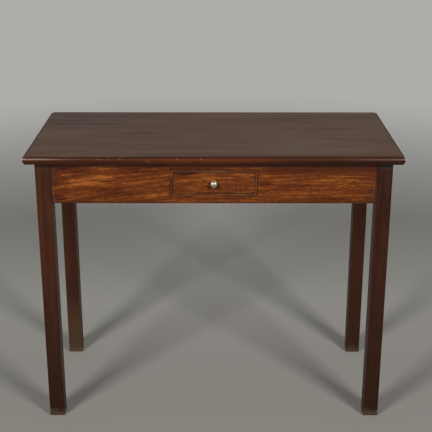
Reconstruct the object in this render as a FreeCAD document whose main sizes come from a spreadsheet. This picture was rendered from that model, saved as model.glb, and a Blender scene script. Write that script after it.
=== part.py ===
import FreeCAD, Part
import math
import os
import Sketcher
from FreeCAD import Rotation, Vector

# A joined tavern table with one drawer in its frieze.
# Millimetres, Z up, the front towards -Y, the origin on the floor under the middle of the top.

doc = FreeCAD.newDocument("tavern_table")
sheet = doc.addObject("Spreadsheet::Sheet", "sizes")

SIZES = (
    ("table_height", 740, "floor to the upper face of the top"),
    ("top_width", 941, "top from nose to nose along the front"),
    ("top_depth", 470, "top from nose to nose, front to rear"),
    ("top_thickness", 20, "top between its two faces"),
    ("side_overhang", 25.5, "nose of the top beyond the legs at each end"),
    ("front_overhang", 31, "nose of the top beyond the legs at the front and the rear"),
    ("edge_step", 3.5, "height of the step below the top's upper face"),
    ("edge_ledge", 5, "flat ledge at the foot of the step"),
    ("nose_radius", 3.5, "round from the ledge to the nose"),
    ("edge_undercut", 5.5, "how far the slope under the nose runs in"),
    ("leg_section", 39, "side of the square leg"),
    ("leg_arris", 0.8, "round along the edges of a leg"),
    ("foot_chamfer", 1.5, "chamfer round the foot of a leg"),
    ("rail_height", 109, "height of the frieze and the other rails"),
    ("rail_thickness", 22, "thickness of the frieze and the other rails"),
    ("rail_setback", 1, "face of a rail behind the face of the legs"),
    ("tenon_thickness", 8, "tenon of a rail"),
    ("tenon_wall", 2, "end of a tenon from the side of the other tenon in the same leg"),
    ("shoulder_above", 14, "shoulder above a tenon"),
    ("shoulder_below", 8, "shoulder below a tenon"),
    ("glue_gap", 1, "mortise deeper than its tenon"),
    ("opening_width", 217.5, "drawer opening in the frieze"),
    ("opening_height", 66.5, "drawer opening in the frieze"),
    ("opening_rise", 20.5, "frieze left below the drawer opening"),
    ("runner_bearing", 15, "reach of a runner under the drawer from the opening's side"),
    ("runner_rise", 2, "underside of a runner above the lower edge of the frieze"),
    ("runner_housing", 6, "reach of a runner into the frieze and the rear rail"),
    ("guide_width", 22, "guide beside the drawer"),
    ("guide_height", 20, "guide beside the drawer"),
    ("kicker_width", 20, "kicker above the side of the drawer"),
    ("stop_width", 10, "stop behind the drawer"),
    ("stop_length", 20, "stop behind the drawer"),
    ("stop_height", 14, "stop behind the drawer"),
    ("block_section", 22, "side of the square block under the top"),
    ("block_length", 70, "block under the top"),
    ("block_inset", 136, "middle of a front or rear block from the leg"),
    ("screw_diameter", 4.5, "shank of the screw through a block"),
    ("screw_head", 9, "head of the screw through a block"),
    ("screw_head_height", 2.6, "countersunk head of the screw through a block"),
    ("screw_bite", 13, "reach of a screw into the top"),
    ("fastener_play", 0.1, "hole larger than its screw, nail or shank, on the radius"),
    ("drawer_room", 50, "rear end of the drawer from the rear rail"),
    ("drawer_gap", 0.7, "gap on each side of the drawer"),
    ("slide_gap", 0.3, "gap between the drawer and what carries or stops it"),
    ("drawer_head_gap", 0.8, "gap above the drawer front"),
    ("drawer_front_thickness", 20, "drawer front"),
    ("drawer_side_thickness", 8, "drawer side"),
    ("drawer_back_thickness", 8, "drawer back"),
    ("drawer_bottom_thickness", 5, "drawer bottom"),
    ("side_drop", 3, "top edge of a drawer side below that of the front"),
    ("back_drop", 4, "top edge of the drawer back below that of the sides"),
    ("groove_rise", 7, "groove for the bottom above the lower edge of the drawer"),
    ("groove_depth", 3, "groove for the bottom"),
    ("bottom_play", 0.5, "bottom short of the foot of its groove"),
    ("dovetail_lap", 8, "drawer front left in front of the dovetails"),
    ("tail_width", 14, "dovetail at its wide end"),
    ("tail_flare", 1.8, "dovetail narrower at its root, on each side"),
    ("bead_thickness", 4.5, "bead seen from the front"),
    ("bead_depth", 6, "bead behind the face of the drawer front"),
    ("bead_projection", 2.5, "bead in front of the face of the drawer front"),
    ("bead_flat", 0.4, "flat left between the rounds along the nose of the bead"),
    ("knob_diameter", 15.8, "head of the knob at its rim"),
    ("knob_dome", 13, "radius of the dome on the head"),
    ("knob_rim", 1.6, "straight rim between the dome and the slope"),
    ("knob_rim_round", 1.1, "round along both edges of the rim"),
    ("knob_head_slope", 3, "slope of the head from the neck to the rim"),
    ("knob_neck", 6.5, "neck behind the head"),
    ("knob_neck_length", 6.2, "neck between the foot and the head"),
    ("knob_foot", 16.5, "foot against the drawer front"),
    ("knob_foot_height", 1.2, "rim of the foot"),
    ("knob_foot_slope", 2.4, "slope from the rim to the neck"),
    ("knob_drop", 1, "knob below the middle of the drawer front"),
    ("shank_diameter", 4, "shank of the knob through the drawer front"),
    ("shank_end", 1.5, "shank beyond the nut"),
    ("washer_diameter", 11, "washer under the nut"),
    ("washer_thickness", 1, "washer under the nut"),
    ("nut_circle", 8.5, "circle through the corners of the nut"),
    ("nut_thickness", 3.2, "nut on the knob's shank"),
    ("nail_diameter", 1.6, "nail through the drawer bottom"),
    ("nail_length", 18, "nail through the drawer bottom"),
    ("nail_head", 4, "head of the nail"),
    ("nail_head_height", 0.8, "head of the nail"),
    ("nail_spacing", 70, "nails from each other"),
)

FRONT_TAILS = 3
REAR_TAILS = 2
BOTTOM_NAILS = 3
NUT_SIDES = 6
SAME_PLACE = 0.001

for row, (alias, number, note) in enumerate(SIZES, start=1):
    sheet.set(f"A{row}", alias)
    sheet.set(f"B{row}", str(number))
    sheet.set(f"C{row}", note)
    sheet.setAlias(f"B{row}", alias)
doc.recompute()


# Sizes that stay tied to the sheet

class Size:
    """A length: the number it has now, and the expression that ties a property to the sheet."""

    def __init__(self, expression, number):
        self.expression = expression
        self.number = number

    def joined(self, sign, other, number):
        return Size(f"({self.expression} {sign} {as_size(other).expression})", number)

    def __add__(self, other):
        return self.joined("+", other, self.number + as_size(other).number)

    def __sub__(self, other):
        return self.joined("-", other, self.number - as_size(other).number)

    def __mul__(self, other):
        return self.joined("*", other, self.number * as_size(other).number)

    def __rmul__(self, other):
        return self * other

    def __truediv__(self, other):
        return self.joined("/", other, self.number / as_size(other).number)

    def __neg__(self):
        return self * -1


def as_size(value):
    return value if isinstance(value, Size) else Size(str(value), value)


def root(size):
    return Size(f"sqrt({size.expression})", math.sqrt(size.number))


class Sheet:
    """The cells of the sheet by alias, as sizes."""

    def __getattr__(self, alias):
        return Size(f"sizes.{alias}", float(sheet.get(alias)))


cell = Sheet()


def tie(thing, prop, size):
    thing.setExpression(prop, as_size(size).expression)


def place(thing, base):
    for axis, distance in zip("xyz", base):
        tie(thing, f"Placement.Base.{axis}", distance)


# Shapes that the pieces are made of

SIDES = (("left", -1), ("right", 1))


def lowest(side, near, width):
    """Lowest coordinate of a piece that starts at a distance from the middle, on either side of it."""
    return near if side > 0 else -(near + width)


def block(name, low, size):
    """A rectangular block from its lowest corner and its sizes along X, Y and Z."""
    solid = doc.addObject("Part::Box", name)
    place(solid, low)
    for prop, length in zip(("Length", "Width", "Height"), size):
        tie(solid, prop, length)
    return solid


def turned_forward(solid):
    """Turns a piece made along +Z so that it points to the front."""
    solid.Placement.Rotation = Rotation(Vector(1, 0, 0), 90)
    return solid


def rod(name, base, radius, length):
    solid = doc.addObject("Part::Cylinder", name)
    place(solid, base)
    tie(solid, "Radius", radius)
    tie(solid, "Height", length)
    return solid


def fuse(name, solids):
    joined = doc.addObject("Part::MultiFuse", name)
    joined.Shapes = solids
    joined.Refine = True
    return joined


def cut(name, base, waste):
    left_over = doc.addObject("Part::Cut", name)
    left_over.Base = base
    left_over.Tool = waste[0] if len(waste) == 1 else fuse(f"{name}_waste", waste)
    left_over.Refine = True
    return left_over


def group(name, solids):
    """Pieces of one kind that share a node, left apart as solids."""
    together = doc.addObject("Part::Compound", name)
    together.Links = solids
    return together


# Sketched bodies

def plane(body, role):
    return next(feature for feature in body.Origin.OriginFeatures if feature.Role == role)


def sketch_on(body, name, role, offset=0):
    """An empty sketch on one of the body's own planes, moved along the plane's normal."""
    sketch = body.newObject("Sketcher::SketchObject", name)
    sketch.AttachmentSupport = [(plane(body, role), "")]
    sketch.MapMode = "FlatFace"
    tie(sketch, "AttachmentOffset.Base.z", offset)
    return sketch


def arc_between(start, end, centre, radius):
    """The short arc between two points, and which of its ends is the first point."""
    first, last = (math.atan2(point.y - centre.y, point.x - centre.x) for point in (start, end))
    anticlockwise = (start - centre).cross(end - centre).z > 0
    if not anticlockwise:
        first, last = last, first
    circle = Part.Circle(centre, Vector(0, 0, 1), radius)
    return Part.ArcOfCircle(circle, first, last), (1, 2) if anticlockwise else (2, 1)


def outline(sketch, corners, arcs=None):
    """Draws a closed outline and ties each corner to the sheet.

    arcs gives, for the number of a side that is an arc, its centre and its radius.
    """
    arcs = arcs or {}
    points = [Vector(x.number, y.number, 0) for x, y in corners]
    ends = []
    for side, start in enumerate(points):
        end = points[(side + 1) % len(points)]
        if side in arcs:
            (centre_x, centre_y), radius = arcs[side]
            centre = Vector(centre_x.number, centre_y.number, 0)
            curve, order = arc_between(start, end, centre, radius.number)
        else:
            curve, order = Part.LineSegment(start, end), (1, 2)
        sketch.addGeometry(curve)
        ends.append(order)
    for side, (first, last) in enumerate(ends):
        following = (side + 1) % len(ends)
        sketch.addConstraint(Sketcher.Constraint("Coincident", side, last, following, ends[following][0]))
        for kind, distance in zip(("DistanceX", "DistanceY"), corners[side]):
            constraint = Sketcher.Constraint(kind, -1, 1, side, first, distance.number)
            tie(sketch, f"Constraints[{sketch.addConstraint(constraint)}]", distance)
    for side, (centre, radius) in arcs.items():
        constraint = Sketcher.Constraint("Radius", side, radius.number)
        tie(sketch, f"Constraints[{sketch.addConstraint(constraint)}]", radius)


def rectangle(sketch, low, high):
    outline(sketch, [low, (high[0], low[1]), high, (low[0], high[1])])


def pad(body, sketch, length):
    feature = body.newObject("PartDesign::Pad", f"{sketch.Name}_pad")
    feature.Profile = sketch
    tie(feature, "Length", length)
    return feature


def pocket(body, sketch, length=None, reversed_way=False):
    """A cut from the sketch to a depth, or right through on both sides where no depth is given."""
    feature = body.newObject("PartDesign::Pocket", f"{sketch.Name}_pocket")
    feature.Profile = sketch
    feature.Reversed = reversed_way
    if length is None:
        feature.Type = "ThroughAll"
        feature.SideType = "Symmetric"
    else:
        tie(feature, "Length", length)
    return feature


def mirror(body, feature, role):
    mirrored = body.newObject("PartDesign::Mirrored", f"{feature.Name}_mirrored")
    mirrored.Originals = [feature]
    mirrored.MirrorPlane = (plane(body, role), [""])
    body.Tip = mirrored


def edges_where(feature, test):
    """Names of the edges whose boxes pass a test."""
    doc.recompute()
    edges = enumerate(feature.Shape.Edges, start=1)
    return [f"Edge{number}" for number, edge in edges if test(edge.BoundBox)]


def dress(body, kind, feature, edges, prop, size):
    """A fillet or a chamfer along some edges of a feature."""
    dressed = body.newObject(f"PartDesign::{kind}", f"{feature.Name}_{kind.lower()}")
    dressed.Base = (feature, edges)
    tie(dressed, prop, size)
    return dressed


nodes = []


def node(solid, label):
    """Keeps a finished piece under the name that its file gets."""
    solid.Label = label
    nodes.append(solid)


# Places that several pieces share

underside = cell.table_height - cell.top_thickness
rail_foot = underside - cell.rail_height
frame_x = cell.top_width / 2 - cell.side_overhang
frame_y = cell.top_depth / 2 - cell.front_overhang
shoulder_x = frame_x - cell.leg_section
shoulder_y = frame_y - cell.leg_section
rail_face_x = frame_x - cell.rail_setback
rail_face_y = frame_y - cell.rail_setback
rail_inside_x = rail_face_x - cell.rail_thickness
rail_inside_y = rail_face_y - cell.rail_thickness
tenon_cheek = (cell.rail_thickness - cell.tenon_thickness) / 2
tenon_foot = rail_foot + cell.shoulder_below
tenon_height = cell.rail_height - cell.shoulder_below - cell.shoulder_above
tenon_length = cell.leg_section - cell.rail_setback - tenon_cheek - cell.tenon_thickness - cell.tenon_wall
opening_half = cell.opening_width / 2
opening_foot = rail_foot + cell.opening_rise
opening_top = opening_foot + cell.opening_height
runner_inner = opening_half - cell.runner_bearing

drawer_half = opening_half - cell.drawer_gap
drawer_foot = opening_foot + cell.slide_gap
drawer_height = cell.opening_height - cell.slide_gap - cell.drawer_head_gap
drawer_rear = rail_inside_y - cell.drawer_room
front_inside = cell.drawer_front_thickness - rail_face_y
side_inner = drawer_half - cell.drawer_side_thickness
side_height = drawer_height - cell.side_drop
groove_foot = drawer_foot + cell.groove_rise
back_front = drawer_rear - cell.drawer_back_thickness
back_foot = groove_foot + cell.drawer_bottom_thickness
back_height = side_height - cell.back_drop - cell.groove_rise - cell.drawer_bottom_thickness
knob_height = drawer_foot + drawer_height / 2 - cell.knob_drop


# Blocks under the top, each with a screw up into it

def screw(name, x, y, play):
    """A countersunk screw that points up, or its hole where play is more than nothing."""
    foot = underside - cell.block_section
    shank = rod(
        f"{name}_shank", (x, y, foot),
        cell.screw_diameter / 2 + play,
        cell.block_section + cell.screw_bite + play,
    )
    head = doc.addObject("Part::Cone", f"{name}_head")
    place(head, (x, y, foot))
    tie(head, "Radius1", cell.screw_head / 2 + play)
    tie(head, "Radius2", cell.screw_diameter / 2 + play)
    tie(head, "Height", cell.screw_head_height + play)
    return fuse(name, [shank, head])


block_x = shoulder_x - cell.block_inset
block_rear = rail_inside_y - cell.block_section / 2
block_right = rail_inside_x - cell.block_section / 2
BLOCKS = {
    "front_left": (-block_x, -block_rear),
    "front_right": (block_x, -block_rear),
    "rear_left": (-block_x, block_rear),
    "rear_right": (block_x, block_rear),
    "left": (-block_right, as_size(0)),
    "right": (block_right, as_size(0)),
}

screws = []
screw_holes = []
for name, (x, y) in BLOCKS.items():
    along_end_rail = name in ("left", "right")
    half_x = (cell.block_section if along_end_rail else cell.block_length) / 2
    half_y = (cell.block_length if along_end_rail else cell.block_section) / 2
    blank = block(
        f"block_{name}_blank",
        (x - half_x, y - half_y, underside - cell.block_section),
        (2 * half_x, 2 * half_y, cell.block_section),
    )
    hole = screw(f"screw_hole_{name}", x, y, cell.fastener_play)
    screws.append(screw(f"screw_{name}", x, y, 0))
    screw_holes.append(hole)
    node(cut(f"block_{name}", blank, [hole]), f"glue_block_{name}")
node(group("screw_group", screws), "top_screws")


# The top: one board, its edge worked on all four sides

def edge_waste(sketch, nose):
    """What the maker takes off one edge: above the step, round the nose and under it."""
    nose_height = cell.top_thickness - cell.edge_step - cell.nose_radius
    ledge_height = cell.top_thickness - cell.edge_step
    step = nose - cell.nose_radius - cell.edge_ledge
    above = cell.top_thickness + cell.nose_radius
    outside = nose + 2 * cell.nose_radius
    corners = [
        (step, above),
        (step, ledge_height),
        (nose - cell.nose_radius, ledge_height),
        (nose, nose_height),
        (nose - cell.edge_undercut, as_size(0)),
        (nose - cell.edge_undercut, -cell.nose_radius),
        (outside, -cell.nose_radius),
        (outside, above),
    ]
    outline(sketch, corners, {2: ((nose - cell.nose_radius, nose_height), cell.nose_radius)})


top = doc.addObject("PartDesign::Body", "top_board")
board = sketch_on(top, "board", "XY_Plane")
half_width = cell.top_width / 2
half_depth = cell.top_depth / 2
blank_x = half_width + cell.nose_radius
blank_y = half_depth + cell.nose_radius
rectangle(board, (-blank_x, -blank_y), (blank_x, blank_y))
pad(top, board, cell.top_thickness)
for name, role, nose, mirror_role in (
    ("long_edge", "YZ_Plane", half_depth, "XZ_Plane"),
    ("short_edge", "XZ_Plane", half_width, "YZ_Plane"),
):
    waste = sketch_on(top, name, role)
    edge_waste(waste, nose)
    mirror(top, pocket(top, waste), mirror_role)
place(top, (0, 0, underside))
node(cut("top_drilled", top, screw_holes), "tabletop")


# Legs: the same leg four times, turned so that its mortises face the rails

def leg(name, quarter_turns, x, y):
    body = doc.addObject("PartDesign::Body", name)
    half = cell.leg_section / 2
    section = sketch_on(body, f"{name}_section", "XY_Plane")
    rectangle(section, (-half, -half), (half, half))
    post = pad(body, section, underside)
    foot = edges_where(post, lambda box: box.ZMax < SAME_PLACE)
    chamfered = dress(body, "Chamfer", post, foot, "Size", cell.foot_chamfer)
    upright = edges_where(chamfered, lambda box: box.ZLength > SAME_PLACE)
    dress(body, "Fillet", chamfered, upright, "Radius", cell.leg_arris)
    cheek = cell.rail_setback + tenon_cheek - half
    for side, role, offset, reversed_way in (
        ("x", "YZ_Plane", half, False),
        ("y", "XZ_Plane", -half, True),
    ):
        mortise = sketch_on(body, f"{name}_mortise_{side}", role, offset)
        rectangle(mortise, (cheek, tenon_foot), (cheek + cell.tenon_thickness, tenon_foot + tenon_height))
        pocket(body, mortise, tenon_length + cell.glue_gap, reversed_way)
    body.Placement.Rotation = Rotation(Vector(0, 0, 1), 90 * quarter_turns)
    place(body, (x, y, 0))
    node(body, name)


leg_x = frame_x - cell.leg_section / 2
leg_y = frame_y - cell.leg_section / 2
leg("leg_front_left", 0, -leg_x, -leg_y)
leg("leg_front_right", 1, leg_x, -leg_y)
leg("leg_rear_right", 2, leg_x, leg_y)
leg("leg_rear_left", 3, -leg_x, leg_y)


# What carries and guides the drawer, from the frieze to the rear rail

runners = []
for hand, side in SIDES:
    runner_width = cell.runner_bearing + cell.guide_width
    runner_reach = rail_inside_y + cell.runner_housing
    runner = block(
        f"runner_{hand}",
        (lowest(side, runner_inner, runner_width), -runner_reach, rail_foot + cell.runner_rise),
        (runner_width, 2 * runner_reach, cell.opening_rise - cell.runner_rise),
    )
    runners.append(runner)
    node(runner, f"drawer_runner_{hand}")
    guide = block(
        f"guide_{hand}",
        (lowest(side, opening_half, cell.guide_width), -rail_inside_y, opening_foot),
        (cell.guide_width, 2 * rail_inside_y, cell.guide_height),
    )
    node(guide, f"drawer_guide_{hand}")
    kicker = block(
        f"kicker_{hand}",
        (lowest(side, runner_inner, cell.kicker_width), -rail_inside_y, opening_top),
        (cell.kicker_width, 2 * rail_inside_y, underside - opening_top),
    )
    node(kicker, f"drawer_kicker_{hand}")
    stop_inner = opening_half - cell.stop_width
    stop = block(
        f"stop_{hand}",
        (lowest(side, stop_inner, cell.stop_width), drawer_rear + cell.slide_gap, opening_foot),
        (cell.stop_width, cell.stop_length, cell.stop_height),
    )
    node(stop, f"drawer_stop_{hand}")


# Rails between the legs, with a tenon at each end

def rail(name, side, shoulder, inside, along_x):
    """A rail between two legs, its board and both tenons in one piece."""

    def axes(along, across, up):
        return (along, across, up) if along_x else (across, along, up)

    reach = shoulder + tenon_length
    board = block(
        f"{name}_board",
        axes(-shoulder, lowest(side, inside, cell.rail_thickness), rail_foot),
        axes(2 * shoulder, cell.rail_thickness, cell.rail_height),
    )
    tenons = block(
        f"{name}_tenons",
        axes(-reach, lowest(side, inside + tenon_cheek, cell.tenon_thickness), tenon_foot),
        axes(2 * reach, cell.tenon_thickness, tenon_height),
    )
    return fuse(f"{name}_with_tenons", [board, tenons])


opening = block(
    "drawer_opening",
    (-opening_half, -(rail_face_y + cell.rail_thickness), opening_foot),
    (cell.opening_width, 3 * cell.rail_thickness, cell.opening_height),
)
front_rail = rail("front", -1, shoulder_x, rail_inside_y, True)
rear_rail = rail("rear", 1, shoulder_x, rail_inside_y, True)
node(cut("front_worked", front_rail, [opening] + runners), "front_frieze")
node(cut("rear_worked", rear_rail, runners), "rear_rail")
for hand, side in SIDES:
    node(rail(f"end_{hand}", side, shoulder_y, rail_inside_x, False), f"end_rail_{hand}")


# Drawer: dovetails first, because each shapes two pieces

def tail(name, side, root_y, tip_y, height):
    """One dovetail of a drawer side: narrow at its root, wide at its tip."""
    wedge = doc.addObject("Part::Wedge", name)
    low_x = lowest(side, side_inner, cell.drawer_side_thickness)
    wide = cell.tail_width / 2
    narrow = wide - cell.tail_flare
    points_forward = tip_y.number < root_y.number
    for prop in ("Xmin", "X2min"):
        tie(wedge, prop, low_x)
    for prop in ("Xmax", "X2max"):
        tie(wedge, prop, low_x + cell.drawer_side_thickness)
    tie(wedge, "Ymin", tip_y if points_forward else root_y)
    tie(wedge, "Ymax", root_y if points_forward else tip_y)
    first, second = (wide, narrow) if points_forward else (narrow, wide)
    tie(wedge, "Zmin", height - first)
    tie(wedge, "Zmax", height + first)
    tie(wedge, "Z2min", height - second)
    tie(wedge, "Z2max", height + second)
    return wedge


def tails(name, count, side, root_y, tip_y, foot, height):
    pitch = height / count
    return [tail(f"{name}_{i}", side, root_y, tip_y, foot + pitch * (i + 0.5)) for i in range(count)]


back_board = block(
    "back_board",
    (-drawer_half, back_front, back_foot),
    (2 * drawer_half, cell.drawer_back_thickness, back_height),
)
tail_tip = cell.dovetail_lap - rail_face_y
front_tails = []
rear_tails = []
for hand, side in SIDES:
    front_name = f"front_tail_{hand}"
    rear_name = f"rear_tail_{hand}"
    at_front = tails(front_name, FRONT_TAILS, side, front_inside, tail_tip, drawer_foot, side_height)
    at_rear = tails(rear_name, REAR_TAILS, side, back_front, drawer_rear, back_foot, back_height)
    front_tails += at_front
    rear_tails += at_rear
    board = block(
        f"side_{hand}_board",
        (lowest(side, side_inner, cell.drawer_side_thickness), front_inside, drawer_foot),
        (cell.drawer_side_thickness, drawer_rear - front_inside, side_height),
    )
    notched = cut(f"side_{hand}_notched", board, [back_board])
    groove = block(
        f"side_{hand}_groove",
        (lowest(side, side_inner, cell.groove_depth), tail_tip, groove_foot),
        (cell.groove_depth, drawer_rear - tail_tip, cell.drawer_bottom_thickness),
    )
    dovetailed = fuse(f"side_{hand}_dovetailed", [notched] + at_front + at_rear)
    node(cut(f"side_{hand}", dovetailed, [groove]), f"drawer_side_{hand}")


# Drawer bottom in its grooves, nailed up into the back

def nail(name, x, play):
    """A nail that points up, or its hole where play is more than nothing."""
    y = drawer_rear - cell.drawer_back_thickness / 2
    radius = cell.nail_diameter / 2 + play
    shank = rod(f"{name}_shank", (x, y, groove_foot), radius, cell.nail_length + play)
    if play:
        return shank
    head_foot = groove_foot - cell.nail_head_height
    head = rod(f"{name}_head", (x, y, head_foot), cell.nail_head / 2, cell.nail_head_height)
    return fuse(name, [shank, head])


nail_places = [cell.nail_spacing * (i - (BOTTOM_NAILS - 1) / 2) for i in range(BOTTOM_NAILS)]
nails = [nail(f"nail_{i}", x, 0) for i, x in enumerate(nail_places)]
nail_holes = [nail(f"nail_hole_{i}", x, cell.fastener_play) for i, x in enumerate(nail_places)]
node(group("nail_group", nails), "drawer_bottom_nails")

bottom_half = side_inner + cell.groove_depth - cell.bottom_play
bottom_front = front_inside - cell.groove_depth + cell.bottom_play
bottom_board = block(
    "bottom_board",
    (-bottom_half, bottom_front, groove_foot),
    (2 * bottom_half, drawer_rear - bottom_front, cell.drawer_bottom_thickness),
)
node(cut("bottom_drilled", bottom_board, nail_holes), "drawer_bottom")
node(cut("back_worked", back_board, rear_tails + nail_holes), "drawer_back")


# Drawer front: a full board, with a rebate for the bead round its face

field = block(
    "front_field",
    (cell.bead_thickness - drawer_half, -rail_face_y, drawer_foot + cell.bead_thickness),
    (
        2 * (drawer_half - cell.bead_thickness),
        cell.drawer_front_thickness,
        drawer_height - 2 * cell.bead_thickness,
    ),
)
slab = block(
    "front_slab",
    (-drawer_half, cell.bead_depth - rail_face_y, drawer_foot),
    (2 * drawer_half, cell.drawer_front_thickness - cell.bead_depth, drawer_height),
)
front_groove_half = side_inner + cell.groove_depth
front_groove = block(
    "front_groove",
    (-front_groove_half, front_inside - cell.groove_depth, groove_foot),
    (2 * front_groove_half, 2 * cell.groove_depth, cell.drawer_bottom_thickness),
)
shank_hole = turned_forward(rod(
    "shank_hole",
    (0, front_inside, knob_height),
    cell.shank_diameter / 2 + cell.fastener_play,
    cell.drawer_front_thickness,
))
rebated = fuse("front_rebated", [field, slab])
node(cut("front_cut", rebated, front_tails + [front_groove, shank_hole]), "drawer_front")


# Bead: four strips with mitred ends, round the face of the drawer front

def bead(name, angle, half_length, out):
    body = doc.addObject("PartDesign::Body", name)
    strip = sketch_on(body, f"{name}_strip", "XZ_Plane")
    inner_half = half_length - cell.bead_thickness
    inner = out - cell.bead_thickness
    outline(strip, [(-half_length, out), (half_length, out), (inner_half, inner), (-inner_half, inner)])
    length = cell.bead_depth + cell.bead_projection
    blank = pad(body, strip, length)
    front = SAME_PLACE - length.number
    nose = edges_where(blank, lambda box: box.YMax < front and box.ZLength < SAME_PLACE)
    dress(body, "Fillet", blank, nose, "Radius", (cell.bead_thickness - cell.bead_flat) / 2)
    body.Placement.Rotation = Rotation(Vector(0, 1, 0), angle)
    place(body, (0, cell.bead_depth - rail_face_y, drawer_foot + drawer_height / 2))
    node(body, name)


bead("cock_bead_top", 0, drawer_half, drawer_height / 2)
bead("cock_bead_right", 90, drawer_height / 2, drawer_half)
bead("cock_bead_bottom", 180, drawer_half, drawer_height / 2)
bead("cock_bead_left", 270, drawer_height / 2, drawer_half)


# Knob with its shank through the drawer front, its washer and its nut

knob = doc.addObject("PartDesign::Body", "knob_turned")
profile = sketch_on(knob, "knob_profile", "XZ_Plane")
head = cell.knob_diameter / 2
neck = cell.knob_neck / 2
neck_start = cell.knob_foot_height + cell.knob_foot_slope
head_start = neck_start + cell.knob_neck_length
rim_start = head_start + cell.knob_head_slope
rim_end = rim_start + cell.knob_rim
dome_centre = rim_end - root(cell.knob_dome * cell.knob_dome - head * head)
shank = cell.shank_diameter / 2
shank_tip = -(cell.drawer_front_thickness + cell.washer_thickness + cell.nut_thickness + cell.shank_end)
outline(
    profile,
    [
        (as_size(0), shank_tip),
        (shank, shank_tip),
        (shank, as_size(0)),
        (cell.knob_foot / 2, as_size(0)),
        (cell.knob_foot / 2, cell.knob_foot_height),
        (neck, neck_start),
        (neck, head_start),
        (head, rim_start),
        (head, rim_end),
        (as_size(0), dome_centre + cell.knob_dome),
    ],
    {8: ((as_size(0), dome_centre), cell.knob_dome)},
)
turning = knob.newObject("PartDesign::Revolution", "knob_turning")
turning.Profile = profile
turning.ReferenceAxis = (profile, ["V_Axis"])
lowest_rim = head_start.number
rim_edges = edges_where(turning, lambda box: box.ZMin > lowest_rim and box.ZLength < SAME_PLACE)
dress(knob, "Fillet", turning, rim_edges, "Radius", cell.knob_rim_round)
turned_forward(knob)
place(knob, (0, -rail_face_y, knob_height))
node(knob, "knob")

washer_rear = front_inside + cell.washer_thickness
nut_rear = washer_rear + cell.nut_thickness
bore_length = cell.washer_thickness + cell.nut_thickness
bore = turned_forward(rod("bore", (0, nut_rear, knob_height), shank + cell.fastener_play, bore_length))
washer = turned_forward(rod(
    "washer_blank", (0, washer_rear, knob_height), cell.washer_diameter / 2, cell.washer_thickness,
))
node(cut("washer", washer, [bore]), "knob_washer")
nut = turned_forward(doc.addObject("Part::Prism", "nut_blank"))
nut.Polygon = NUT_SIDES
tie(nut, "Circumradius", cell.nut_circle / 2)
tie(nut, "Height", cell.nut_thickness)
place(nut, (0, nut_rear, knob_height))
node(cut("nut", nut, [bore]), "knob_nut")


# Check every step, then write the pieces

doc.recompute()
broken = [thing.Name for thing in doc.Objects if {"Invalid", "Error"} & set(thing.State)]
if broken:
    raise RuntimeError(f"steps that failed: {broken}")
os.makedirs("parts", exist_ok=True)
for piece in nodes:
    shape = piece.Shape
    if shape.isNull() or not shape.isValid():
        raise RuntimeError(f"{piece.Label} has no valid shape")
    shape.exportStep(f"parts/{piece.Label}.step")
    print(f"{piece.Label}: {len(shape.Solids)} solids, {shape.Volume / 1000:.1f} cm3")
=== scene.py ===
# %% [markdown]
# # A mahogany table with one drawer
# The table was drawn in CAD as separate pieces: a top, four legs, four rails, a drawer that slides and
# the small parts that hold it all together. This lesson gives those pieces their wood, polish, metal and
# wear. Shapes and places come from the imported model, which is in metres, so no piece is fitted by eye.

# %% Load the table
import math
import random

import bmesh
import bpy
from mathutils import Matrix, Vector


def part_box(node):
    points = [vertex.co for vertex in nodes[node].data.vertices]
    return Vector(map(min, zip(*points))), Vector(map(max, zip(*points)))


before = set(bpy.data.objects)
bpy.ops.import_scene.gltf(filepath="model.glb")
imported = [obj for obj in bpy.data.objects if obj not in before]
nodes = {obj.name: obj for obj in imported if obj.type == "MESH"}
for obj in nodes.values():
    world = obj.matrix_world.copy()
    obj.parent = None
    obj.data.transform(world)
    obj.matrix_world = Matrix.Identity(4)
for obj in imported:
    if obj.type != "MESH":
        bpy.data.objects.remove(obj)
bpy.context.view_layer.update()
scene = bpy.context.scene

# %% [markdown]
# ## The camera
# The table is seen from the front and a little above, from far enough away that its legs stay nearly
# parallel. A long lens gives that view. The camera's place and tilt were worked out from the corners of
# the top and the feet, so here they are plain numbers: the height and distance set how far the legs close
# towards the floor, and the small roll levels the front edge.

# %% Set the camera
CAMERA_PLACE = Vector((0.00546, -2.52718, 1.4146))
CAMERA_TILT_DOWN = math.radians(19.816)
CAMERA_ROLL = math.radians(0.045)
CAMERA_LENS = 81.54
CAMERA_SENSOR = 36.0

camera_data = bpy.data.cameras.new("front_camera")
camera_data.sensor_width = CAMERA_SENSOR
camera_data.lens = CAMERA_LENS
camera = bpy.data.objects.new("front_camera", camera_data)
scene.collection.objects.link(camera)
look = Matrix.Rotation(math.pi / 2 - CAMERA_TILT_DOWN, 4, "X") @ Matrix.Rotation(CAMERA_ROLL, 4, "Z")
camera.matrix_world = Matrix.Translation(CAMERA_PLACE) @ look
scene.camera = camera
scene.view_settings.view_transform = "Standard"
print("camera set with a lens of", CAMERA_LENS, "mm")

# %% [markdown]
# ## Sums on sockets
# No picture is laid on the wood. Each finish is worked out from the place on the piece, by noise that is
# drawn out along the grain, masks and mixes. Written as single nodes that would be pages long, so one
# small class wraps a socket: a sum on it adds the Math nodes, and one method adds any other node.


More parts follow.
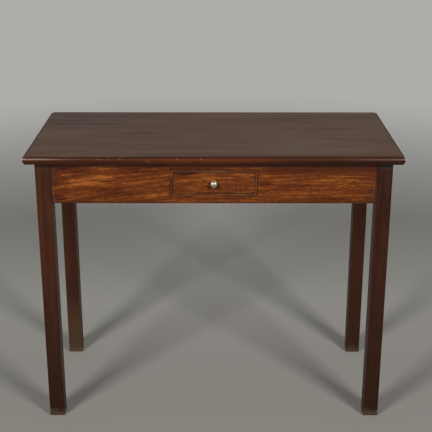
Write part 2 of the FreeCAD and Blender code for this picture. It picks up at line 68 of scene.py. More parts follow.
# %% A wire that can be added and multiplied
class Wire:
    """A socket of a node tree. Sums written with it add their own nodes."""

    MIX_SHARE, MIX_FIRST, MIX_SECOND, MIX_COLOUR = 0, 6, 7, 2

    def __init__(self, tree, socket=None):
        self.tree = tree
        self.socket = socket

    def feed(self, socket, value):
        """Links a wire to a socket, or sets the socket's own value."""
        if isinstance(value, Wire):
            self.tree.links.new(value.socket, socket)
        else:
            socket.default_value = value

    def node(self, kind, settings=None, sockets=None, take=0):
        """Adds a node: its settings are set first, then its sockets get values or links."""
        made = self.tree.nodes.new("ShaderNode" + kind)
        for name, value in (settings or {}).items():
            setattr(made, name, value)
        for key, value in (sockets or {}).items():
            self.feed(made.inputs[key], value)
        return Wire(self.tree, made.outputs[take])

    def out(self, key):
        """Another output of the same node."""
        return Wire(self.tree, self.socket.node.outputs[key])

    def math(self, operation, *terms):
        return self.node("Math", {"operation": operation}, dict(enumerate(terms)))

    def vector(self, operation, other):
        return self.node("VectorMath", {"operation": operation}, {0: self, 1: other})

    def length(self):
        return self.node("VectorMath", {"operation": "LENGTH"}, {0: self}, take="Value")

    def blend(self, first, second):
        """A colour between two others. The wire itself is the share of the second one."""
        settings = {"data_type": "RGBA"}
        sockets = {self.MIX_SHARE: self, self.MIX_FIRST: first, self.MIX_SECOND: second}
        return self.node("Mix", settings, sockets, take=self.MIX_COLOUR)

    def rise(self, low, high):
        """A soft step, from 0 at the low value to 1 at the high one."""
        settings = {"interpolation_type": "SMOOTHSTEP"}
        return self.node("MapRange", settings, {"Value": self, "From Min": low, "From Max": high})

    def fall(self, low, high):
        """A soft step, from 1 at the low value to 0 at the high one."""
        return 1 - self.rise(low, high)

    def smaller(self, other):
        return self.math("MINIMUM", self, other)

    def larger(self, other):
        return self.math("MAXIMUM", self, other)

    def __abs__(self):
        return self.math("ABSOLUTE", self)

    def __add__(self, other):
        return self.math("ADD", self, other)

    def __sub__(self, other):
        return self.math("SUBTRACT", self, other)

    def __rsub__(self, other):
        return self.math("SUBTRACT", other, self)

    def __mul__(self, other):
        return self.math("MULTIPLY", self, other)

    def __truediv__(self, other):
        return self.math("DIVIDE", self, other)

    __radd__ = __add__
    __rmul__ = __mul__


print("sums on sockets are ready")

# %% [markdown]
# ## A finish is built up in layers
# A table maker stains and polishes the bare wood, and years of use then lay marks over that. A finish
# here goes the same way: the wood comes first, and each mark is laid over it through a mask, with its own
# colour, roughness, polish and depth. Only at the end are the layers linked to the shader. Places are
# turned into millimetres, because that is how one thinks about grain and scratches.

# %% Layers of a finish
MM_PER_METRE = 1000


def colour(red, green, blue):
    """A colour from 0 to 255 for each part, as the linear values that a shader takes."""

    def linear(part):
        """One part of a colour, through the curve of sRGB."""
        share = part / 255
        return share / 12.92 if share <= 0.04045 else ((share + 0.055) / 1.055) ** 2.4

    return (linear(red), linear(green), linear(blue), 1.0)


class Finish:
    """A surface that is built up in layers and then linked to the shader."""

    def __init__(self, name):
        self.material = bpy.data.materials.new(name)
        self.material.use_nodes = True
        self.shader = self.material.node_tree.nodes["Principled BSDF"]
        metres = Wire(self.material.node_tree).node("TexCoord", take="Object")
        self.place = metres.vector("MULTIPLY", (MM_PER_METRE,) * 3)
        self.x = self.place.node("SeparateXYZ", sockets={"Vector": self.place})
        self.y = self.x.out("Y")
        self.z = self.x.out("Z")
        self.layers = {"Base Color": colour(128, 128, 128), "Roughness": 0.5}
        self.height = 0.0

    def lay(self, mask, tint=None, depth=None, **others):
        """Lays one mark over what is there, where the mask is 1."""
        if tint is not None:
            self.layers["Base Color"] = mask.blend(self.layers["Base Color"], colour(*tint))
        for word, value in others.items():
            key = {"rough": "Roughness", "polish": "Coat Weight", "metal": "Metallic"}[word]
            below = self.layers[key]
            self.layers[key] = below + (value - below) * mask
        if depth is not None:
            self.height = self.height - depth * mask

    def close(self, dressed, **fixed):
        """Links the layers, sets what is the same all over, and dresses the pieces."""
        for key, value in self.layers.items():
            self.place.feed(self.shader.inputs[key], value)
        relief = {"Strength": 1.0, "Distance": 1 / MM_PER_METRE, "Height": self.height}
        self.place.feed(self.shader.inputs["Normal"], self.place.node("Bump", sockets=relief))
        for word, value in fixed.items():
            key = {"gloss": "Specular IOR Level", "coat_roughness": "Coat Roughness"}[word]
            self.shader.inputs[key].default_value = value
        for name in dressed:
            nodes[name].material_slots[0].material = self.material
        print(self.material.name, "->", ", ".join(dressed))


print("a finish can be built up in layers")

# %% [markdown]
# ## What wood looks like
# A board is a slice through long fibres, so every mark in it is long with the grain and narrow across it.
# Four sizes of noise make the tone: broad ribbons, streaks, short dashes and fine threads. The open pores
# that mahogany is known for come on top. The grain also sways, because a tree is never quite straight.
# The noise fills space, so an edge or an end shows the cut end of the same streaks without any more work.

# %% The figure of a board
BOARD_SPACING = (311.0, 173.0, 229.0)
SWAY = 9.0
SWAY_SIZE = (260.0, 60.0)
PORE_SIZE = (8.0, 0.45)
# Each mark's length and width in millimetres, and its share in the tone
MARKS = {
    "ribbon": (420.0, 14.0, 0.32),
    "streak": (110.0, 5.0, 0.24),
    "dash": (14.0, 2.2, 0.24),
    "thread": (36.0, 0.7, 0.20),
}


def drawn_out(axis, length, width):
    """Sizes along X, Y and Z of a mark that is long with the grain and narrow across it."""
    return tuple(length if name == axis else width for name in "XYZ")


def spots(place, sizes, detail=2.0):
    """Soft noise from 0 to 1 whose spots have these sizes in millimetres."""
    sockets = {"Vector": place.vector("DIVIDE", sizes), "Scale": 1.0, "Detail": detail}
    return place.node("TexNoise", sockets=sockets)


def swayed(place, axis):
    """The same place, moved a little across the grain, so that straight marks wander."""
    drift = spots(place, drawn_out(axis, *SWAY_SIZE), 1.0).out("Color")
    centred = drift.vector("SUBTRACT", (0.5, 0.5, 0.5))
    return place.vector("ADD", centred.vector("MULTIPLY", drawn_out(axis, 0.0, 2 * SWAY)))


def figure(place, axis):
    """The tone of a board, from 0 dark to 1 light, and a mask of its pores."""
    wandering = swayed(place, axis)
    tone = 0.0
    for length, width, share in MARKS.values():
        tone = tone + share * spots(wandering, drawn_out(axis, length, width))
    pores = spots(wandering, drawn_out(axis, *PORE_SIZE), 1.0).rise(0.58, 0.70)
    return tone, pores


print("marks in the wood:", ", ".join(MARKS))

# %% [markdown]
# ## Places on a piece
# Wear isn't spread evenly. It follows edges, feet and corners, and a few spots that chance has chosen. So
# three helpers measure where a point is: inside a soft spot, how far from the edges of a box, and how far
# from the rim of an opening. The boxes come from the pieces themselves.


# %% Spots and edges
def box_mm(name):
    """The lowest and the highest corner of a piece, in millimetres."""
    low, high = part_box(name)
    return [value * MM_PER_METRE for value in low], [value * MM_PER_METRE for value in high]


def soft_spot(finish, centre, reach):
    """A soft spot that is 1 in its middle and 0 at its rim."""
    offset = finish.place.vector("SUBTRACT", centre).vector("DIVIDE", reach)
    return offset.length().fall(0.2, 1.0)


def from_edge(axes, low, high):
    """Distance in millimetres from the nearest edge of a box, on its surface."""
    first, second, third = (
        (end - start) / 2 - abs(along - (start + end) / 2) for along, start, end in zip(axes, low, high)
    )
    return first.smaller(second).larger(first.larger(second).smaller(third))


def outside_frame(finish, low, high):
    """Distance outside a rectangle seen from the front, which is negative inside it."""
    to_side = abs(finish.x - (low[0] + high[0]) / 2) - (high[0] - low[0]) / 2
    to_end = abs(finish.z - (low[2] + high[2]) / 2) - (high[2] - low[2]) / 2
    return to_side.larger(to_end)


print("top box in millimetres:", [[round(v, 1) for v in corner] for corner in box_mm("tabletop")])

# %% [markdown]
# ## Polished mahogany
# All the wood that shows from outside is mahogany: reddish brown, with dark pores, under an old satin
# polish. The tone of the figure picks the colour between a dark, a middle and a light one. Where a board
# has a flame or a shadow of its own, a tint could be laid over it, but here the tone is shifted, so that
# the streaks go on through. A weak clear coat over a rougher base gives the satin look: a sharp one would
# look like varnish.

# %% Polished and bare mahogany
BARE_MAHOGANY, SAW_MARK = (86, 56, 36), (58, 38, 26)
TONE_DARK, TONE_MIDDLE, TONE_LIGHT = 0.38, 0.50, 0.62
SAW_MARK_SIZE = (60.0, 2.0, 2.0)
# Roughness of polished, worn, open, dirty and sawn wood
SATIN, WORN, PORE, DIRTY, SAWN = 0.46, 0.50, 0.55, 0.60, 0.80
SMOOTHER_WHERE_LIGHT = 0.12
THIN_POLISH = 0.10
FIGURE_RELIEF, PORE_DEPTH, SAW_DEPTH = 0.03, 0.04, 0.10


def mahogany(finish, axis, number, palette, polish, lean=None, shades=(), rough=SATIN):
    """Starts a finish with its polish and the wood of one board, which the number picks."""
    place = finish.place.vector("ADD", tuple(number * step for step in BOARD_SPACING))
    if lean is not None:
        place = place.vector("ADD", lean)
    tone, finish.pores = figure(place, axis)
    for centre, reach, shift in shades:
        tone = tone + shift * soft_spot(finish, centre, reach)
    dark, middle, light = (colour(*shade) for shade in palette)
    lower = tone.rise(TONE_DARK, TONE_MIDDLE).blend(dark, middle)
    finish.layers["Base Color"] = tone.rise(TONE_MIDDLE, TONE_LIGHT).blend(lower, light)
    finish.layers["Roughness"] = rough - SMOOTHER_WHERE_LIGHT * tone
    finish.layers["Coat Weight"] = polish
    finish.height = FIGURE_RELIEF * tone
    finish.tone = tone


def leave_bare(finish, mask):
    """Wood that was never polished: dull, dusty and rough from the saw."""
    saw = spots(finish.place, SAW_MARK_SIZE)
    finish.lay(0.85 * mask, BARE_MAHOGANY)
    finish.lay(mask * saw.rise(0.5, 0.7) * 0.4, SAW_MARK)
    finish.lay(mask, rough=SAWN, polish=0.0, depth=SAW_DEPTH * saw)


print("mahogany is ready")

# %% [markdown]
# ## Frieze and drawer front
# The drawer front was sawn out of the frieze board, so one finish dresses both and the streaks run
# through. On the left the grain climbs to the right, so the place is sheared there before the figure is
# taken. The flames and shadows of this board are soft spots, each with its place along the board, its
# height, its reach and how far it shifts the tone. Two of the shadows are painted shade, not wood: one on
# the drawer front under the top bead, and one along the frieze just under the edge of the top.

# %% The board of the frieze
FRIEZE_PALETTE = ((52, 20, 7), (98, 46, 14), (154, 88, 35))
CLIMB, CLIMB_END = 0.12, -90.0
FACE_Y = box_mm("drawer_front")[0][1]
# How far a soft spot on a face reaches into the board
SPOT_DEPTH = 60.0
# Flames and shadows: where along the board, at what height, reach along and up, shift of the tone
FRIEZE_SHADES = (
    (-398.0, 689.0, 28.0, 10.0, -0.09),
    (-395.0, 625.0, 36.0, 14.0, -0.11),
    (-390.0, 646.0, 42.0, 10.0, -0.05),
    (-370.0, 658.0, 48.0, 11.0, 0.05),
    (-355.0, 700.0, 80.0, 16.0, -0.12),
    (-330.0, 666.0, 56.0, 12.0, 0.12),
    (-295.0, 662.0, 56.0, 10.0, 0.06),
    (-285.0, 678.0, 50.0, 11.0, 0.10),
    (-262.0, 700.0, 52.0, 8.0, 0.07),
    (-262.0, 642.0, 60.0, 10.0, -0.06),
    (-245.0, 676.0, 60.0, 12.0, 0.05),
    (-175.0, 694.0, 60.0, 10.0, -0.05),
    (-150.0, 638.0, 70.0, 20.0, 0.02),
    # painted shade on the drawer front, under the top bead on the left
    (-72.0, 690.0, 50.0, 8.0, -0.14),
    (-55.0, 617.0, 110.0, 8.0, 0.09),
    # painted shade along the frieze, just under the edge of the top
    (-50.0, 703.0, 120.0, 10.0, -0.08),
    (-45.0, 649.0, 46.0, 9.0, 0.07),
    (-30.0, 682.0, 60.0, 10.0, 0.05),
    (-8.0, 675.0, 30.0, 9.0, 0.06),
    (62.0, 658.0, 55.0, 22.0, -0.05),
    (75.0, 685.0, 50.0, 7.0, 0.07),
    (128.0, 662.0, 30.0, 12.0, -0.09),
    (132.0, 682.0, 30.0, 8.0, 0.06),
    (185.0, 652.0, 75.0, 9.0, -0.07),
    (240.0, 619.0, 140.0, 9.0, -0.07),
    (300.0, 672.0, 110.0, 14.0, 0.04),
)

frieze = Finish("frieze_polish")
climbing = frieze.x.node("CombineXYZ", sockets={"Z": -CLIMB * (frieze.x - CLIMB_END).smaller(0.0)})
shades = [((x, FACE_Y, z), (long, SPOT_DEPTH, high), shift) for x, z, long, high, shift in FRIEZE_SHADES]
mahogany(frieze, "X", 1, FRIEZE_PALETTE, THIN_POLISH, climbing, shades)
print("flames and shadows in the frieze:", len(shades))

# %% [markdown]
# Two places differ from the rest of the board: a plain red band along its upper edge on the right, and
# a curl in the grain on the drawer, which shows as short upright marks. A shift of the tone can't redden
# the wood or turn its grain, so both are laid on as tints. The pores lie over them.

# %% Red band, curl and pores of the frieze
RED_BAND, CURL, FRIEZE_PORES = (71, 27, 12), (128, 66, 34), (44, 20, 11)
UNDERSIDE = box_mm("tabletop")[0][2]


def on_face(x, z, along, up):
    """A soft spot on the face of the frieze, with its place and its reach."""
    return soft_spot(frieze, (x, FACE_Y, z), (along, SPOT_DEPTH, up))


under_top = UNDERSIDE - frieze.z
red_band = frieze.x.rise(105.0, 150.0) * (under_top - 12.0 * frieze.tone).fall(18.0, 34.0)
frieze.lay(0.8 * red_band, RED_BAND)
curl = spots(frieze.place, (8.0, 60.0, 45.0)).rise(0.42, 0.62)
frieze.lay(0.35 * curl * on_face(58.0, 662.0, 70.0, 34.0), CURL)
frieze.lay(0.8 * frieze.pores, FRIEZE_PORES, depth=PORE_DEPTH, rough=PORE)
print("grain of the frieze is done")

# %% [markdown]
# Over the wood come its marks. Dirt gathers round the beads and at the joints with the legs, and a
# dusty bloom stays under the top, where no cloth reaches. That bloom is painted light as well: it lifts
# the shade under the edge of the top. A painted shadow line runs inside the top bead, a painted shadow
# with some grime lies round the knob, and the frieze is darker by the legs. All that could be painted by
# hand, but masks made from the distance to the opening, the legs and the lower edge move with those
# pieces.

# %% Dirt, painted light and painted shade round the drawer and by the legs
BLOOM_AND_PAINTED_LIGHT, RIM_DIRT, BEAD_SHADOW = (94, 58, 47), (50, 27, 14), (42, 20, 11)
JOINT_DIRT, JOINT_DUST, DARKER_BY_LEG = (44, 24, 16), (126, 84, 62), (56, 30, 24)
NAIL_CORNER, LOW_DIRT, KNOB_GRIME_AND_SHADOW = (66, 36, 28), (50, 23, 13), (38, 18, 9)
opening_low, opening_high = box_mm("drawer_front")
FRIEZE_BOTTOM = box_mm("front_frieze")[0][2]
FRIEZE_END = box_mm("leg_front_right")[0][0]
BEAD_WIDTH = box_mm("cock_bead_top")[1][2] - box_mm("cock_bead_top")[0][2]
KNOB_Z = (box_mm("knob")[0][2] + box_mm("knob")[1][2]) / 2
# Darker spots by the legs: where along the board, at what height
DARK_BY_LEGS = ((-406.0, 690.0), (406.0, 638.0))

# dust under the top, laid lighter as painted light over the shade of the overhang
bloom_and_light = under_top.fall(8.0, 22.0) * spots(frieze.place, (90.0, 20.0, 14.0)).rise(0.2, 0.55)
frieze.lay(0.45 * bloom_and_light, BLOOM_AND_PAINTED_LIGHT, rough=DIRTY)
rim = outside_frame(frieze, opening_low, opening_high)
dirt = spots(frieze.place, (60.0, 9.0, 24.0)).rise(0.36, 0.62)
frieze.lay(0.4 * dirt * abs(rim + 1.0).fall(2.0, 7.5), RIM_DIRT, rough=DIRTY)
frieze.lay(0.6 * abs(rim + BEAD_WIDTH + 1.0).fall(0.6, 2.6), BEAD_SHADOW, rough=DIRTY)
joint = FRIEZE_END - abs(frieze.x)
frieze.lay(0.7 * joint.fall(0.5, 4.0), JOINT_DIRT, rough=DIRTY)
dusty = spots(frieze.place, (9.0, 9.0, 30.0)).rise(0.46, 0.68)
frieze.lay(0.3 * dusty * abs(joint - 6.0).fall(0.5, 6.0), JOINT_DUST, rough=DIRTY)
frieze.lay(0.6 * on_face(388.0, 620.0, 26.0, 15.0), NAIL_CORNER, rough=DIRTY)
for x, z in DARK_BY_LEGS:
    frieze.lay(0.5 * on_face(x, z, 30.0, 56.0), DARKER_BY_LEG, rough=DIRTY)
frieze.lay(0.7 * frieze.z.fall(FRIEZE_BOTTOM + 1.0, FRIEZE_BOTTOM + 8.0), LOW_DIRT, rough=WORN)
# painted shadow of the knob on the drawer front, below it and to both sides, with some grime
frieze.lay(0.55 * on_face(0.0, KNOB_Z - 5.0, 21.0, 15.0), KNOB_GRIME_AND_SHADOW, rough=WORN)
print("dirt on the frieze is done")

# %% [markdown]
# Two nails once sat low on the right, and their holes have darkened the wood round them. Only the tint is
# laid here: the holes are cut later, from the same list. Behind its face the board was never polished.

# %% Nail holes and the back of the frieze
# Old nail holes: where along the board, at what height, radius
NAIL_HOLES = ((384.0, 625.0, 1.6), (368.0, 616.0, 1.3))
HOLE_SPREAD = 2.2
HOLE_DARK = (34, 18, 11)

for x, z, radius in NAIL_HOLES:
    frieze.lay(0.9 * on_face(x, z, HOLE_SPREAD * radius, HOLE_SPREAD * radius), HOLE_DARK, rough=0.7)
leave_bare(frieze, frieze.y.rise(FACE_Y + 1.5, FACE_Y + 3.0))
frieze.close(("front_frieze", "drawer_front"), gloss=0.10, coat_roughness=0.25)

# %% [markdown]
# ## Legs
# The legs are darker than the frieze, and darkest near the floor. Each could have a finish of its own, but
# they are alike, so all four share one, and what sets a leg apart is laid where it stands: the right ones
# are darker in the middle, the front left one is warmer, and the rear ones are a little lighter. Just
# under the top they are grey with dust, which is painted as a sheen too.

# %% Wood of the legs
LEG_PALETTE = ((40, 19, 11), (59, 31, 19), (77, 42, 26))
LEG_POLISH = 0.08
LEG_PORES, LEG_LOW, LEG_TOP_DUST_AND_SHEEN = (28, 14, 9), (36, 23, 14), (76, 72, 74)
LEG_DARK, LEG_BACK_LIGHTER, LEG_WARM = (40, 20, 12), (104, 66, 46), (92, 48, 24)
LEGS = sorted(name for name in nodes if name.startswith("leg_"))

legs = Finish("leg_polish")
mahogany(legs, "Z", 2, LEG_PALETTE, LEG_POLISH)
legs.lay(0.7 * legs.pores, LEG_PORES, depth=PORE_DEPTH, rough=PORE)
legs.lay(0.65 * legs.z.fall(40.0, 460.0), LEG_LOW)
# dust and a painted grey sheen just under the top
legs.lay(0.35 * (UNDERSIDE - legs.z).fall(4.0, 28.0), LEG_TOP_DUST_AND_SHEEN, rough=DIRTY)
legs.lay(0.45 * legs.x.rise(300.0, 400.0) * abs(legs.z - 330.0).fall(60.0, 300.0), LEG_DARK)
at_back = legs.y.rise(-50.0, 50.0)
legs.lay(0.07 * at_back, LEG_BACK_LIGHTER)
at_front_left = (1 - at_back) * legs.x.fall(-400.0, -300.0)
legs.lay(0.14 * at_front_left * legs.z.rise(320.0, 440.0), LEG_WARM)
print("legs:", ", ".join(LEGS))

# %% [markdown]
# Shoes and brooms have rubbed the edges down to paler wood, scuffed the feet and left small knocks.
# Measured with the distance from the middle of the table instead of X and Y, all four legs stand in the
# same place, so one box gives the edges of them all.

# %% Wear of the legs
LEG_BY_FRIEZE, LEG_RUBBED, KNOCK = (34, 22, 20), (92, 50, 31), (30, 16, 10)
SCUFFED, WORN_FOOT = (84, 67, 53), (94, 72, 52)

level_with_it = legs.z.rise(FRIEZE_BOTTOM - 11.0, FRIEZE_BOTTOM + 14.0)
by_frieze = level_with_it * abs(legs.x).fall(FRIEZE_END + 1.0, FRIEZE_END + 8.0)
legs.lay(0.6 * by_frieze, LEG_BY_FRIEZE, rough=DIRTY)
rubbed = spots(legs.place, (9.0, 9.0, 90.0)).rise(0.42, 0.62)
leg_edge = from_edge((abs(legs.x), abs(legs.y), legs.z), *box_mm("leg_rear_right"))
legs.lay(0.65 * rubbed * leg_edge.fall(0.4, 2.2), LEG_RUBBED, rough=WORN)
scuffs = spots(legs.place, (14.0, 14.0, 9.0), 4.0)
legs.lay(0.7 * (legs.z - 40.0 * scuffs).fall(-14.0, 6.0), SCUFFED, rough=0.75, polish=0.0)
worn_foot = soft_spot(legs, (-425.0, 165.0, 30.0), (60.0, 40.0, 200.0))
legs.lay(worn_foot * (0.30 + 0.25 * scuffs), WORN_FOOT, rough=0.7)
knocks = spots(legs.place, (7.0, 7.0, 11.0)).rise(0.70, 0.76)
legs.lay(0.5 * knocks, KNOCK, depth=0.25)
legs.close(LEGS, gloss=0.09, coat_roughness=0.28)

# %% [markdown]
# ## Top
# The top is the same wood, darkened by light and use. Seen at a low angle its satin polish mirrors the
# pale room behind it, and that is what makes it look grey: the wood itself is nearly as red as the legs.
# A dull clear coat over rough wood does that without a glare from the lamps. Wipe marks thin the coat along
# the grain, hands have polished the front on the right, and a few stains are left of its use.

# %% Board and polish of the top
TOP_PALETTE = ((53, 32, 16), (82, 50, 27), (109, 70, 41))
TOP_PORES = (40, 22, 14)
TOP_ROUGH = 0.68
TOP_POLISH, WIPED_POLISH, HANDLED_POLISH = 0.52, 0.40, 0.66
STAIN_DEPTH = 9.0
top_low, top_high = box_mm("tabletop")
# A shadow in the board: place, reach, shift of the tone
TOP_SHADES = [((-360.0, 130.0, top_high[2]), (260.0, 150.0, SPOT_DEPTH), -0.08)]
# Where hands have polished it: place, reach
HANDLED = ((290.0, -150.0, top_high[2]), (290.0, 100.0, SPOT_DEPTH))
# Stains: where along and across the board, reach along and across, share, tint
TOP_STAINS = (
    (206.0, -150.0, 44.0, 36.0, 0.7, (58, 52, 49)),
    (-369.0, -141.0, 5.0, 4.0, 0.8, (38, 30, 26)),
    (150.0, -70.0, 90.0, 34.0, 0.25, (48, 34, 28)),
    (-40.0, 30.0, 120.0, 60.0, 0.20, (84, 52, 38)),
)

top = Finish("top_polish")
mahogany(top, "X", 8, TOP_PALETTE, TOP_POLISH, shades=TOP_SHADES, rough=TOP_ROUGH)
top.lay(0.8 * top.pores, TOP_PORES, depth=PORE_DEPTH, rough=PORE)
wipes = spots(top.place, (280.0, 32.0, 32.0), 5.0)
top.lay(wipes.rise(0.36, 0.64), rough=TOP_ROUGH, polish=WIPED_POLISH)
top.lay(0.8 * soft_spot(top, *HANDLED), polish=HANDLED_POLISH)
blotches = spots(top.place, (34.0, 22.0, 22.0), 4.0).rise(0.3, 0.7)
for x, y, along, across, share, tint in TOP_STAINS:
    stain = soft_spot(top, (x, y, top_high[2]), (along, across, STAIN_DEPTH))
    top.lay(share * blotches * stain, tint, rough=WORN)
print("stains on the top:", len(TOP_STAINS))

# %% [markdown]
# The moulded edge has a step, a narrow ledge, a small round and a slope under it. Hands and sleeves have
# worn it, so it shows warmer wood than the flat, most of all in the middle of the front, and towards the
# ends the round is still polished. A pale highlight is painted on the round at the left end, and below the
# round a painted shade darkens it on the right. A material of its own would end in a hard line, so masks
# from the distance to the rim are used, and the grain runs on into the edge.

# %% Edge of the top
EDGE_TINT, EDGE_WARM, EDGE_WORN = (67, 27, 9), (102, 47, 18), (108, 56, 30)
PALE_WEAR_AND_HIGHLIGHT, EDGE_DARK_AND_SHADE = (196, 168, 150), (36, 17, 9)
STEP_INSIDE = 8.5
NOSE_HEIGHT = top_high[2] - 7.0
EDGE_ROUGH, ROUND_ROUGH = 0.40, 0.24

to_end = top_high[0] - abs(top.x)
to_front = top_high[1] - abs(top.y)
inward = to_end.smaller(to_front)
nose = inward.fall(STEP_INSIDE - 2.0, STEP_INSIDE - 0.5)
top.lay(nose, rough=EDGE_ROUGH, polish=0.0)
top.lay(nose * (0.25 + 0.9 * top.tone), EDGE_TINT)
front_round = to_front.fall(2.0, 4.5) * top.z.rise(NOSE_HEIGHT - 1.0, NOSE_HEIGHT)
top.lay(front_round * to_end.fall(20.0, 190.0), rough=ROUND_ROUGH, polish=1.0)
warm = soft_spot(top, (-10.0, top_low[1], NOSE_HEIGHT), (240.0, 20.0, 30.0))
top.lay(0.7 * nose * warm, EDGE_WARM)
rubbed_nose = spots(top.place, (70.0, 70.0, 5.0)).rise(0.46, 0.64)
top.lay(0.25 * rubbed_nose * inward.fall(0.4, 1.6), EDGE_WORN)
# painted highlight: the round is laid paler at the left end, where a lamp shines on it
left_end_highlight = front_round * top.x.fall(-450.0, -340.0)
top.lay(0.2 * left_end_highlight, PALE_WEAR_AND_HIGHLIGHT)
# painted shade on the slope below the round, on the right
below_round = top.z.fall(NOSE_HEIGHT - 1.0, NOSE_HEIGHT + 1.5)
top.lay(0.5 * nose * top.x.rise(120.0, 260.0) * below_round, EDGE_DARK_AND_SHADE)
print("edge of the top is", round(top_high[2] - top_low[2], 1), "mm thick")

# %% [markdown]
# Dirt and painted shade darken the ledge under the step. Low on the slope a painted shade darkens the
# wood, more of it on the right, where the lip of the flat is laid darker as painted shade and has lost its
# polish too. The corners are rubbed pale, and a few chips are paler or darker than the rest. They are
# kept in a list, because they are tinted here and cut later. The underside is bare.

# %% Dirt and chips on the edge
STEP_DIRT_AND_SHADE, UNDER_SLOPE_SHADE, FRESH_WOOD = (44, 22, 13), (28, 11, 6), (140, 100, 78)
CHIP_SPREAD = 1.6
# Chips along the front edge: where, at what height, half length, half height, depth behind the nose, tint
EDGE_CHIPS = (
    (-282.0, 734.5, 2.5, 0.9, 0.8, FRESH_WOOD),
    (-260.0, 734.5, 2.0, 0.9, 0.8, FRESH_WOOD),
    (-229.0, 734.5, 3.0, 0.9, 0.8, FRESH_WOOD),
    (-164.0, 730.0, 2.6, 1.5, 2.2, FRESH_WOOD),
    (-157.5, 727.0, 2.6, 1.5, 3.6, FRESH_WOOD),
    (-90.0, 735.5, 2.0, 1.5, 1.9, FRESH_WOOD),
    (-40.0, 726.0, 11.0, 2.6, 4.2, EDGE_DARK_AND_SHADE),
    (-32.0, 735.0, 2.0, 1.3, 1.5, FRESH_WOOD),
    (220.0, 732.0, 5.0, 1.8, 1.4, EDGE_DARK_AND_SHADE),
)

# painted shade low on the slope under the nose, growing towards the right
low_slope = nose * top.z.fall(top_low[2] + 2.5, top_low[2] + 9.5)
top.lay(low_slope * (0.5 + 0.3 * top.x.rise(-40.0, 90.0)), UNDER_SLOPE_SHADE, rough=DIRTY, polish=0.0)
# painted shade on the lip of the flat, on the right, where its polish is thinner too
on_flat = top.z.rise(top_high[2] - 1.0, top_high[2] - 0.1)
lip = (top.y - top_low[1]).fall(STEP_INSIDE + 3.0, STEP_INSIDE + 13.0) * on_flat
top.lay(0.8 * lip * top.x.rise(-250.0, 200.0), EDGE_TINT, polish=0.1)
# dirt and painted shade on the ledge and the step, also at the ends
ledge = abs(inward - STEP_INSIDE).fall(0.5, 4.0) * (1 - on_flat)
top.lay(0.75 * ledge, STEP_DIRT_AND_SHADE, rough=DIRTY, polish=0.0)
top.lay(0.6 * to_end.fall(3.0, 9.0) * to_front.rise(4.0, 20.0), STEP_DIRT_AND_SHADE, polish=0.0)
corner = to_end.larger(to_front).fall(1.0, 6.0) * top.z.rise(NOSE_HEIGHT - 1.5, NOSE_HEIGHT)
top.lay(0.7 * corner * nose, PALE_WEAR_AND_HIGHLIGHT, rough=WORN)
for x, z, half_length, half_height, _, tint in EDGE_CHIPS:
    reach = (CHIP_SPREAD * half_length, STEP_INSIDE, CHIP_SPREAD * half_height)
    top.lay(0.9 * soft_spot(top, (x, top_low[1], z), reach), tint, rough=DIRTY, polish=0.0)
leave_bare(top, top.z.fall(top_low[2] + 0.2, top_low[2] + 0.8))
top.close(["tabletop"], gloss=0.165, coat_roughness=0.46)

# %% [markdown]
# ## Rails
# The end rails and the rear rail close the frame. They are plainer boards of the same wood, polished on
# the outside only. One function dresses each, because they differ only in their grain and in the face that
# looks outwards.

# %% Rails
RAIL_PALETTE = ((50, 24, 14), (80, 41, 23), (106, 58, 33))
RAIL_PORES, RAIL_LOW = (36, 18, 11), (44, 24, 15)
END_RAILS = ["end_rail_left", "end_rail_right"]


def dress_rails(name, axis, number, dressed, outward, outer_face):
    """Dresses rails that are polished on the face towards the outside of the table."""
    rails = Finish(name)
    mahogany(rails, axis, number, RAIL_PALETTE, THIN_POLISH)
    rails.lay(0.8 * rails.pores, RAIL_PORES, depth=PORE_DEPTH, rough=PORE)
    rails.lay(0.5 * rails.z.fall(FRIEZE_BOTTOM, FRIEZE_BOTTOM + 4.0), RAIL_LOW, rough=WORN)
    along = {"X": abs(rails.x), "Y": rails.y}[outward]
    leave_bare(rails, along.fall(outer_face - 3.0, outer_face - 1.5))
    rails.close(dressed, gloss=0.10, coat_roughness=0.28)


dress_rails("rear_rail_polish", "X", 9, ["rear_rail"], "Y", box_mm("rear_rail")[1][1])
dress_rails("end_rail_polish", "Y", 10, END_RAILS, "X", box_mm("end_rail_right")[1][0])

# %% [markdown]
# ## Beads
# A thin bead runs round the drawer front and stands a little proud of it. Its rounded nose is rubbed to
# paler wood, and its foot keeps the dirt. The beads at the sides have their grain upright, and each side
# has been rubbed to a tone of its own, so each gets its own finish from one loop.

# %% Beads
BEAD_PALETTE = ((66, 35, 18), (92, 51, 27), (112, 69, 40))
BEAD_GRIME = (52, 32, 16)
GRIMY_ROUGH = 0.65
# Each side's grain and the tint of its rubbed wood
BEAD_SIDES = {
    "top": ("X", (100, 68, 52)),
    "bottom": ("X", (116, 82, 50)),
    "left": ("Z", (132, 94, 62)),
    "right": ("Z", (140, 98, 74)),
}
# Where grime and a painted shade are thickest, under the top bead on the left: place, reach
BEAD_GRIME_AND_SHADE = ((-72.0, FACE_Y, opening_high[2]), (80.0, 20.0, 8.0))
bead_nose = box_mm("cock_bead_top")[0][1]

